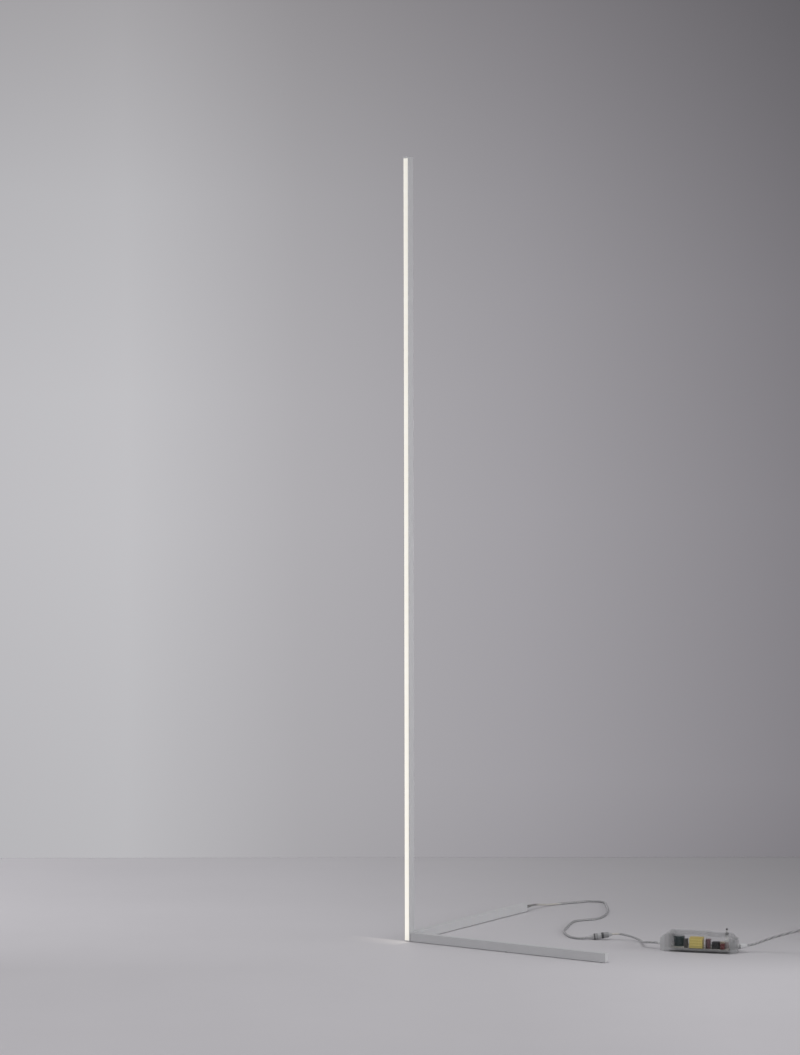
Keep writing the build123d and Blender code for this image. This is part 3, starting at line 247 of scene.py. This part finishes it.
# White powder coat on the bars and caps
def cap_white():
    """The same coat, with painted light: a little paler on the face at the foot's end, where more side light
    falls.
    """
    look = Look("cap_white")
    coat = look.ramp(look.noise(40), (0.3, (0.594, 0.596, 0.606)), (0.7, (0.606, 0.608, 0.618)))
    # Painted light: faces looking along the foot's length are made paler
    painted_paler_end_face = look.fade(look.facing(ALONG_X), 0.7, 0.95)
    look.set("Base Color", look.mix(painted_paler_end_face, coat, (0.645, 0.647, 0.657)))
    look.set("Roughness", 0.42)
    look.skin(1400, 0.00006)
    return look.material


powder = plain("powder_coat", (0.60, 0.602, 0.612), 0.42, grain=40, vary=0.012, fine=1400, depth=0.00006)
dress(powder, "column_profile", "column_top_cap", "column_bottom_cap", "side_foot_tube", "rear_foot_tube",
      "rear_foot_end_cap")
dress(cap_white(), "side_foot_end_cap")


# Light strip
def opal_lit():
    """Opal front lit by the chips behind it, dimmer towards its top, its ends and its right edge."""
    look = Look("opal_lit")
    height = look.along(UP, STRIP_START)
    spots = look.math("SINE", look.math("MULTIPLY", height, 2 * math.pi / CHIP_PITCH))
    glow = look.ramp(look.fade(spots, -1, 1), (0.0, (0.99, 0.95, 0.86)), (1.0, (1.0, 0.965, 0.885)))
    look.set("Emission Color", glow)
    part_up = look.math("MULTIPLY", height, 1 / STRIP_LENGTH)
    upward = look.math("SUBTRACT", 0.90, look.math("MULTIPLY", part_up, part_up, 0.14))
    low_end = look.fade(height, -0.036, -0.010, 0.90, 1.0)
    across = look.fade(look.along(ALONG_X), -0.006, 0.006)
    side = look.ramp(across, (0.1, 1.0), (0.45, 0.95), (0.8, 0.93), (1.0, 0.84))
    look.set("Emission Strength", look.math("MULTIPLY", upward, low_end, side))
    look.set("Base Color", look.ramp(look.noise(60), (0.3, (0.20, 0.20, 0.19)), (0.7, (0.21, 0.21, 0.20))))
    look.set("Roughness", 0.35)
    look.skin(1800, 0.00003)
    return look.material


dress(opal_lit(), "diffuser")
dress(plain("strip_board", (0.82, 0.82, 0.80), 0.5, grain=400), "led_board")
dress(plain("led_phosphor", (0.85, 0.66, 0.22), 0.4, grain=900), "led_chips")

# Steel, iron and rubber of the base
dress(plain("steel", (0.52, 0.52, 0.53), 0.35, metal=1.0, grain=300, stretch=(1, 1, 8)),
      "base_block", "side_foot_plug", "rear_foot_plug", "side_foot_screw", "rear_foot_screws",
      "driver_case_screws")
dress(plain("raw_iron", (0.12, 0.12, 0.125), 0.7, metal=0.6, grain=180, vary=0.25, depth=0.0002),
      "side_foot_ballast", "rear_foot_ballast")
dress(plain("pad_rubber", (0.035, 0.035, 0.036), 0.75, grain=600, vary=0.15, depth=0.00008), "foot_pads")


# Leads inside the lamp and the driver
def lead_wires():
    """A red wire on one side of the column's middle and a black one on the other."""
    look = Look("lead_wires")
    side = look.fade(look.along(ALONG_X), -0.0005, 0.0005)
    look.set("Base Color", look.ramp(side, (0.45, (0.40, 0.02, 0.02)), (0.55, (0.02, 0.02, 0.02))))
    look.set("Roughness", 0.4)
    return look.material


dress(lead_wires(), "lead_wires")
dress(plain("lead_white", (0.62, 0.62, 0.61), 0.4, grain=600, vary=0.04), "output_leads", "switch_leads")

# Soft sleeves and boots
dress(plain("relief_sleeve", (0.19, 0.187, 0.182), 0.45, grain=300, vary=0.08), "cord_strain_relief")
dress(plain("boot_soft", (0.60, 0.603, 0.608), 0.35, grain=300, vary=0.05),
      "driver_entry_boot", "driver_exit_boot")


# Cords
def cord_sleeve():
    """Twisted bright cores under a clear glossy jacket, with a darker stretch and a painted highlight along
    the jacket.
    """
    look = Look("cord_sleeve")
    split = look.add("SeparateXYZ")
    look.feed(split.inputs["Vector"], look.coordinate("UV"))
    run, girth = split.outputs["X"], split.outputs["Y"]
    turned = look.math("ADD", look.math("MULTIPLY", run, look.own("core_turns")), girth)
    twist = look.math("SINE", look.math("MULTIPLY", turned, 4 * math.pi))
    cores = look.ramp(look.fade(twist, -1, 1), (0.15, (0.25, 0.252, 0.258)), (0.5, (0.34, 0.342, 0.348)),
                      (0.85, (0.42, 0.422, 0.428)))
    # A darker stretch, and a pale stretch that is a painted highlight of the glossy jacket
    stretches = [("dark_at", 0.035, (0.20, 0.197, 0.192)), ("highlight_at", 0.055, (0.56, 0.54, 0.50))]
    for middle, half, colour in stretches:
        off = look.math("ABSOLUTE", look.math("SUBTRACT", run, look.own(middle)))
        cores = look.mix(look.fade(off, half * 1.3, half * 0.7), cores, colour)
    look.set("Base Color", cores)
    look.set("Roughness", 0.3)
    look.set("Coat Weight", 0.8)
    look.set("Coat Roughness", 0.08)
    look.skin(900, 0.00003)
    return look.material


sleeve = cord_sleeve()
CORE_LAY = 0.016


def cord(name, points, radius, length, dark_at=-1.0, highlight_at=-1.0):
    """One smooth open curve along a route's own points. The stretches are shares of its length."""
    curve = bpy.data.curves.new(name, "CURVE")
    curve.dimensions = "3D"
    curve.bevel_depth = radius
    curve.bevel_resolution = 4
    curve.resolution_u = 8
    curve.use_fill_caps = True
    spline = curve.splines.new("NURBS")
    spline.points.add(len(points) - 1)
    for slot, point in zip(spline.points, points):
        slot.co = (*point, 1)
    spline.order_u = 3
    spline.use_endpoint_u = True
    piece = bpy.data.objects.new(name, curve)
    scene.collection.objects.link(piece)
    curve.materials.append(sleeve)
    piece["core_turns"] = length / CORE_LAY
    piece["dark_at"] = dark_at
    piece["highlight_at"] = highlight_at
    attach(piece, "lamp")
    return piece


lamp_low = 2.6
lamp_cord = cord("lamp_cord_sleeve", [
    TIP,
    mm(0, 559, 11),
    mm(1, 586, 8.6),
    mm(4, 618, 4),
    mm(12, 650, lamp_low),
    mm(27, 680, lamp_low),
    mm(44, 709, lamp_low),
    mm(54.5, 733, lamp_low),
    mm(70.5, 745.2, lamp_low),
    mm(90, 746, lamp_low),
    mm(107.5, 735, lamp_low),
    mm(128.5, 699.5, lamp_low),
    mm(162, 650, lamp_low),
    mm(190, 595, lamp_low),
    mm(209, 541, lamp_low),
    mm(213, 499, lamp_low),
    mm(195, 471, lamp_low),
    mm(182, 443, lamp_low),
    mm(196, 398, lamp_low),
    mm(216, 346, lamp_low),
    mm(234, 302, lamp_low),
    mm(252.5, 275, lamp_low),
    mm(272, 254, lamp_low),
    mm(294, 233, lamp_low),
    LINK_LEFT - LINK_WAY * 0.018,
    LINK_LEFT,
], radius=0.0025, length=0.87, dark_at=0.01, highlight_at=0.10)
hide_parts("lamp_cord")

driver_cord = cord("driver_cord_sleeve", [
    LINK_RIGHT,
    LINK_RIGHT + LINK_WAY * 0.012,
    mm(408, 286.5, 11.4),
    mm(432, 284.5, 7.2),
    mm(454.5, 270, 5.2),
    mm(471.5, 246.5, 6.6),
    mm(487, 221.5, 10.8),
    BOX_ENTRY - BOX_WAY * 0.020,
    BOX_ENTRY,
], radius=0.0025, length=0.181, highlight_at=0.05)
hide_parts("driver_cord")

# Mains lead: its free run, a flat coil that winds in on the floor and out again one layer up, and its tail
lead = [
    BOX_EXIT,
    BOX_EXIT + EXIT_WAY * 0.0125,
    mm(736.4, 304.3, 22.2),
    mm(763.6, 311.6, 33.8),
    mm(802.5, 317, 47.2),
    mm(845, 324.6, 60),
    mm(878, 350, 63.5),
    mm(887, 394, 59),
    mm(872, 438, 49.5),
    mm(842, 478, 40),
    mm(804, 513, 31),
    mm(767, 543, 22),
    mm(736, 568, 12.5),
    mm(714.5, 587, 6),
    mm(700.25, 607, 3.75),
    mm(700.25, 626, 3.75),
]
COIL_QUARTERS = 26
COIL_RADIUS = 42.75
COIL_PITCH = 6.0
COIL_LOW = 3.75
COIL_LAYER = 6.0
QUARTER_STEPS = 4
# The curve runs inside its points, so they stand a little outside the coil's own circles
POINT_REACH = 1 / math.cos(math.pi / 4 / QUARTER_STEPS)
for step in range(1, COIL_QUARTERS * QUARTER_STEPS):
    quarter = step / QUARTER_STEPS
    past_middle = quarter - COIL_QUARTERS / 2
    inward = COIL_QUARTERS / 2 - abs(past_middle)
    radius = (COIL_RADIUS - COIL_PITCH * inward / 4) * POINT_REACH
    turn = math.pi - quarter * math.pi / 2
    climb = (min(max(past_middle, -1), 1) + 1) / 2
    lead.append(COIL + mm(radius * math.cos(turn), radius * math.sin(turn), COIL_LOW + COIL_LAYER * climb))
lead += [
    mm(785.75, 628, 9.75),
    mm(785.75, 613, 9.6),
    mm(787, 601, 8.6),
    mm(790, 584, 7.05),
    PLUG_TIP,
]
mains_cord = cord("mains_cord_sleeve", lead, radius=0.00275, length=1.98)
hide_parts("mains_cord", "mains_coil", "mains_tail")


# In-line connector: light mouldings, a dark knurled ring and a black seal
def connector_moulding():
    look = Look("connector_moulding")
    place = look.fade(look.along(LINK_WAY, LINK), -LINK_HALF, LINK_HALF)
    tones = look.ramp(place, (0.00, (0.46, 0.463, 0.468)), (0.19, (0.44, 0.444, 0.45)),
                      (0.60, (0.40, 0.404, 0.41)), (0.66, (0.24, 0.24, 0.245)), (0.86, (0.27, 0.27, 0.275)),
                      (0.88, (0.42, 0.424, 0.43)), (1.00, (0.42, 0.423, 0.428)))
    scuffs = look.fade(look.noise(500), 0.3, 0.7, 0.0, 0.12)
    look.set("Base Color", look.mix(scuffs, tones, (0.62, 0.62, 0.63)))
    look.set("Roughness", 0.28)
    look.skin(2200, 0.00004)
    return look.material


def ring_knurled():
    look = Look("ring_knurled")
    place = look.fade(look.along(LINK_WAY, LINK), -0.014, -0.0054)
    bands = look.ramp(place, (0.0, (0.07, 0.07, 0.073)), (0.28, (0.08, 0.08, 0.083)),
                      (0.38, (0.36, 0.36, 0.365)), (0.75, (0.38, 0.38, 0.385)), (1.0, (0.26, 0.26, 0.265)))
    scuffs = look.fade(look.noise(700), 0.3, 0.7, 0.0, 0.15)
    look.set("Base Color", look.mix(scuffs, bands, (0.40, 0.40, 0.41)))
    look.set("Roughness", 0.38)
    look.skin(2400, 0.00004)
    return look.material


dress(connector_moulding(), "connector_plug", "connector_socket")
dress(ring_knurled(), "connector_lock_ring")
dress(plain("seal_rubber", (0.07, 0.07, 0.072), 0.5, grain=500, vary=0.2), "connector_seal")
dress(plain("contact_brass", (0.72, 0.52, 0.22), 0.3, metal=1.0), "connector_contacts")


# Driver's case
def clear_case():
    """See-through walls, with painted sheen: more opaque where they are seen on edge, on the top and towards
    both ends; and painted light and shade: paler ends, a dark tint on the front and back walls, a paler band
    and a dark contact shadow low down.
    """
    look = Look("clear_case")
    level = look.along(UP)
    length = look.along(BOX_WAY, BOX)
    top = look.fade(look.facing(UP), 0.2, 0.95)
    end = look.fade(look.math("ABSOLUTE", look.facing(BOX_WAY)), 0.3, 0.9)
    # Painted light and shade: a paler band at the board's height over the shade beneath the board, above a
    # painted dark contact shadow where the case meets the floor
    painted_light_band = look.math("MULTIPLY", look.fade(level, 0.0032, 0.0046, 0, 0.6),
                      look.fade(level, 0.0085, 0.0105, 1, 0))
    middle = look.math("MULTIPLY", look.fade(length, -0.075, -0.030), look.fade(length, 0.030, 0.072, 1, 0))
    dark = look.math("MULTIPLY", look.fade(level, 0.0030, 0.0040, 0.85, 0), middle)
    # Painted light: both ends, the left one most, are made milky and pale where they face away from the
    # lamps
    painted_light_ends = look.math("ADD", look.fade(length, -0.066, -0.046, 0.62, 0),
                      look.fade(length, 0.055, 0.085, 0, 0.12))

    walls = look.ramp(look.noise(120), (0.3, (0.36, 0.365, 0.37)), (0.7, (0.41, 0.415, 0.42)))
    # Painted shade: the front and back walls keep a dark tint for the shade inside the case, while the top,
    # the ends and the band at the board's height take the paler tone
    walls = look.mix(look.math("MAXIMUM", top, end, painted_light_band), (0.16, 0.16, 0.162), walls)
    # The pale tone of the painted light on the ends, palest at the left
    pale = look.ramp(look.fade(length, -0.05, 0.05), (0.3, (0.80, 0.803, 0.81)), (0.7, (0.46, 0.463, 0.47)))
    walls = look.mix(look.math("MAXIMUM", end, painted_light_ends), walls, pale)
    # Painted contact shadow: nearly black along the bottom of the case's middle
    look.set("Base Color", look.mix(dark, walls, (0.02, 0.02, 0.021)))

    edge = look.add("LayerWeight")
    look.feed(edge.inputs["Blend"], 0.35)
    # Painted sheen: the top and the ends are more opaque, and the walls more so where seen on edge, for the
    # reflections they would show
    painted_sheen = look.math("ADD", look.math("MULTIPLY", top, 0.28), look.math("MULTIPLY", end, 0.30))
    rim = look.math("MULTIPLY", edge.outputs["Fresnel"], 0.20)
    dust = look.fade(look.noise(700, 5.0), 0.45, 0.8, 0.04, 0.06)
    veil = look.math("ADD", painted_sheen, rim, dust)
    look.set("Alpha", look.math("MAXIMUM", veil, painted_light_ends, painted_light_band, dark))
    look.set("Roughness", 0.12)
    look.set("IOR", 1.49)
    look.skin(350, 0.00008)
    return look.material


dress(clear_case(), "driver_case_base", "driver_case_cover")


# Driver's components
def transformer_tape():
    """Yellow tape whose turns overlap as bands."""
    band_height = 0.006
    look = Look("transformer_tape")
    level = look.along(UP, WINDING_START)
    bands = look.math("SINE", look.math("MULTIPLY", level, 2 * math.pi / band_height))
    look.set("Base Color", look.ramp(look.fade(bands, -1, 1), (0.0, (0.68, 0.52, 0.12)),
                                     (0.12, (0.84, 0.69, 0.20)), (1.0, (0.89, 0.74, 0.24))))
    look.set("Roughness", 0.35)
    look.skin(260, 0.0001, (1, 1, 6))
    return look.material


def capacitor_can():
    """Dark sleeve with bare metal on top."""
    look = Look("capacitor_can")
    over = look.fade(look.along(UP, CAN_TOP), -0.0004, 0.0004)
    look.set("Base Color", look.ramp(over, (0.45, (0.04, 0.066, 0.07)), (0.55, (0.34, 0.35, 0.36))))
    look.set("Roughness", 0.25)
    look.skin(500, 0.00005)
    return look.material


def switch_body():
    """Brownish foot, white body and grey bush, one above the other."""
    look = Look("switch_body")
    rise = look.fade(look.along(UP), 0.0, 0.05)
    look.set("Base Color", look.ramp(rise, (0.44, (0.45, 0.39, 0.395)), (0.46, (0.82, 0.82, 0.81)),
                                     (0.76, (0.80, 0.80, 0.79)), (0.80, (0.34, 0.34, 0.34))))
    look.set("Roughness", 0.35)
    look.skin(900, 0.00004)
    return look.material


dress(plain("board_pale", (0.60, 0.59, 0.53), 0.5, grain=220, vary=0.08), "driver_circuit_board")
dress(transformer_tape(), "transformer_winding")
dress(plain("ferrite", (0.035, 0.035, 0.037), 0.6, grain=900, vary=0.3), "transformer_core")
dress(plain("component_black", (0.018, 0.018, 0.02), 0.45, grain=400, vary=0.2),
      "transformer_base", "switching_module")
dress(plain("rectifier_grey", (0.075, 0.073, 0.073), 0.45, grain=400, vary=0.2), "rectifier_block")
dress(capacitor_can(), "bulk_capacitor")
dress(plain("film_epoxy", (0.15, 0.06, 0.075), 0.3, grain=300, vary=0.12, coat=0.3), "film_capacitor")
dress(plain("red_epoxy", (0.14, 0.018, 0.018), 0.3, grain=300, vary=0.1, coat=0.3), "red_capacitor")
dress(plain("fuse_ceramic", (0.45, 0.39, 0.31), 0.6, grain=500, vary=0.06), "fuse_block")
dress(plain("card_white", (0.62, 0.58, 0.57), 0.6, grain=600, vary=0.03), "insulation_card")
dress(switch_body(), "dimmer_switch")
dress(plain("cap_dark", (0.16, 0.16, 0.164), 0.35, grain=400, vary=0.15), "button_cap")
dress(plain("nut_dark", (0.16, 0.16, 0.165), 0.4, grain=700), "switch_nut")
dress(plain("stem_white", (0.80, 0.80, 0.79), 0.3, grain=500, vary=0.03), "button_stem")

# Plug, its pins and the coil's tie
dress(plain("plug_moulding", (0.46, 0.465, 0.47), 0.35, grain=200, vary=0.04, depth=0.00006), "mains_plug")
dress(plain("pin_nickel", (0.66, 0.64, 0.60), 0.2, metal=1.0, grain=500), "plug_pins")
dress(plain("tie_nylon", (0.02, 0.02, 0.021), 0.4, grain=500, vary=0.15), "cord_tie")

# Floor, reaching back to where it meets the wall
FLOOR_BEHIND = 1.432
FLOOR_REACH = 9
SEEN_ASIDE = 1.2


def floor_paint():
    """Pale paint, graded in depth and to the side as the room's light falls on it."""
    look = Look("floor_paint")
    paint = look.ramp(look.noise(3, 4.0), (0.3, (0.655, 0.64, 0.664)), (0.7, (0.67, 0.655, 0.679)))
    deep = look.fade(look.along(BACK), -1.43, 1.2)
    aside = look.fade(look.along(RIGHT), -SEEN_ASIDE, SEEN_ASIDE, -SEEN_ASIDE, SEEN_ASIDE)
    tone = look.ramp(deep, (0.006, 0.89), (0.009, 0.965), (0.28, 0.955), (0.46, 0.97), (0.66, 0.99),
                     (1.0, 1.0))
    lean = look.ramp(deep, (0.37, 0.29), (0.46, 0.25), (0.57, 0.15), (0.68, 0.0))
    near_right = look.math("MULTIPLY", look.fade(aside, 0.2, 0.6, 0, 0.13), look.fade(deep, 0.62, 0.71))
    grade = look.math("SUBTRACT", look.math("MULTIPLY", lean, aside), near_right)
    look.set("Base Color", look.mix(1.0, paint, look.math("SUBTRACT", tone, grade), "MULTIPLY"))
    look.set("Roughness", 0.6)
    # What the strip throws on the floor: a faint warm wedge that starts at the strip's own plane
    before = look.along(-ALONG_Y, ALONG_Y * 0.001)
    beside = look.along(-ALONG_X)
    ahead = look.math("MULTIPLY", look.fade(before, 0.0, 0.012), look.fade(before, 0.012, 0.075, 1, 0))
    outward = look.math("MULTIPLY", look.fade(beside, -0.012, 0.0), look.fade(beside, 0.01, 0.16, 1, 0))
    look.set("Emission Color", (1.0, 0.93, 0.84))
    look.set("Emission Strength", look.math("MULTIPLY", ahead, outward, 0.17))
    return look.material


floor_mesh = bpy.data.meshes.new("floor")
floor_corners = [
    BACK * -FLOOR_BEHIND - RIGHT * FLOOR_REACH,
    BACK * FLOOR_REACH - RIGHT * FLOOR_REACH,
    BACK * FLOOR_REACH + RIGHT * FLOOR_REACH,
    BACK * -FLOOR_BEHIND + RIGHT * FLOOR_REACH,
]
floor_mesh.from_pydata(floor_corners, [], [(0, 1, 2, 3)])
floor = bpy.data.objects.new("floor", floor_mesh)
scene.collection.objects.link(floor)
floor_mesh.materials.append(floor_paint())

# World: a plain graded wall for what looks at it, even soft light for the rest
world = bpy.data.worlds.new("studio")
scene.world = world
world.use_nodes = True
room = Nodes(world.node_tree)
ray = room.coordinate("Generated")
across = room.dot(ray, RIGHT)
rise = room.dot(ray, UP)
wall = room.ramp(room.fade(across, -0.16, 0.16), (0.0, (0.52, 0.515, 0.535)), (0.156, (0.535, 0.53, 0.55)),
                 (0.375, (0.43, 0.42, 0.44)), (0.656, (0.355, 0.343, 0.367)), (1.0, (0.232, 0.222, 0.241)))
height = room.fade(rise, -0.14, 0.21)
fade_left = room.ramp(height, (0.0, 0.91), (0.4, 1.0), (0.55, 1.0), (0.78, 0.905), (1.0, (0.71, 0.70, 0.70)))
fade_right = room.ramp(height, (0.0, 0.90), (0.11, 1.02), (0.42, 1.0), (0.66, 0.885), (1.0, 0.55))
wall = room.mix(1.0, wall, room.mix(room.fade(across, -0.09, 0.16), fade_left, fade_right), "MULTIPLY")
wall = room.mix(room.fade(rise, -0.145, -0.16), wall, (0.42, 0.405, 0.43))
seen = room.add("Background")
room.feed(seen.inputs["Color"], wall)
soft = room.add("Background")
room.feed(soft.inputs["Color"], (0.98, 0.97, 1.0))
room.feed(soft.inputs["Strength"], 0.34)
rays = room.add("LightPath").outputs
pick = room.add("MixShader")
room.feed(pick.inputs["Fac"], room.math("MAXIMUM", rays["Is Camera Ray"], rays["Is Glossy Ray"],
                                        rays["Is Transmission Ray"]))
room.feed(pick.inputs[1], soft.outputs["Background"])
room.feed(pick.inputs[2], seen.outputs["Background"])
room.feed(room.add("OutputWorld").inputs["Surface"], pick.outputs["Shader"])


def softbox(name, position, target, size, power, spread=180):
    light = bpy.data.lights.new(name, "AREA")
    light.shape = "RECTANGLE"
    light.size, light.size_y = size
    light.energy = power
    light.spread = math.radians(spread)
    lamp = bpy.data.objects.new(name, light)
    lamp.location = position
    lamp.rotation_euler = (Vector(target) - position).to_track_quat("-Z", "Y").to_euler()
    lamp.visible_camera = False
    scene.collection.objects.link(lamp)


softbox("overhead", BACK * 0.8 - RIGHT * 0.6 + UP * 4.2, target=(0.1, 0.1, 0), size=(3.2, 3.2), power=62)
softbox("side", BACK * 1.0 + RIGHT * 3.4 + UP * 0.85, target=(0, 0, 0.85), size=(1.6, 1.0), power=6.3,
        spread=64)
softbox("front", BACK * 4.2 - RIGHT * 2.2 + UP * 2.0, target=(0.1, 0.1, 0.6), size=(2.4, 2.4), power=11)
